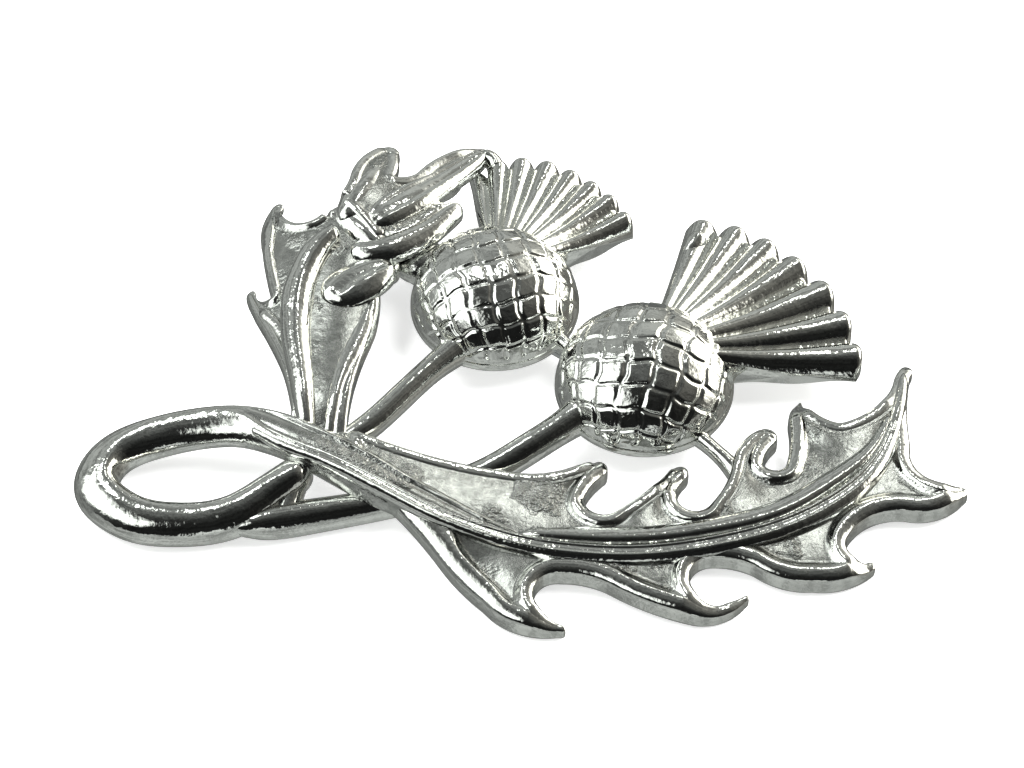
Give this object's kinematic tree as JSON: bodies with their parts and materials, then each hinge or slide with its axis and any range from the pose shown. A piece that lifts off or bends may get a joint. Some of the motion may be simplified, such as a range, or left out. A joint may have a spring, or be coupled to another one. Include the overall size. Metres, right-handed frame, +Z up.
{
  "type": "thistle brooch",
  "caption": "Chrome-plated cast thistle brooch: a looped stem with two thistle heads, a scalloped leaf along the front and a folded small leaf, with a pin behind.",
  "frame": {"origin": "on the table under the middle of the spray as it lies on its back", "axes": "+X from the loop to the big leaf's tip, +Y from the big leaf to the thistle heads, +Z up out of the front"},
  "size_m": [0.0602, 0.0414, 0.0074],
  "materials": {
    "plated_casting": "bright plating over cast relief, satin in the leaf fields",
    "pin_steel": "drawn bright wire"
  },
  "bodies": {
    "root": {"casting": "plated_casting", "pin": "pin_steel"}
  },
  "joints": []
}
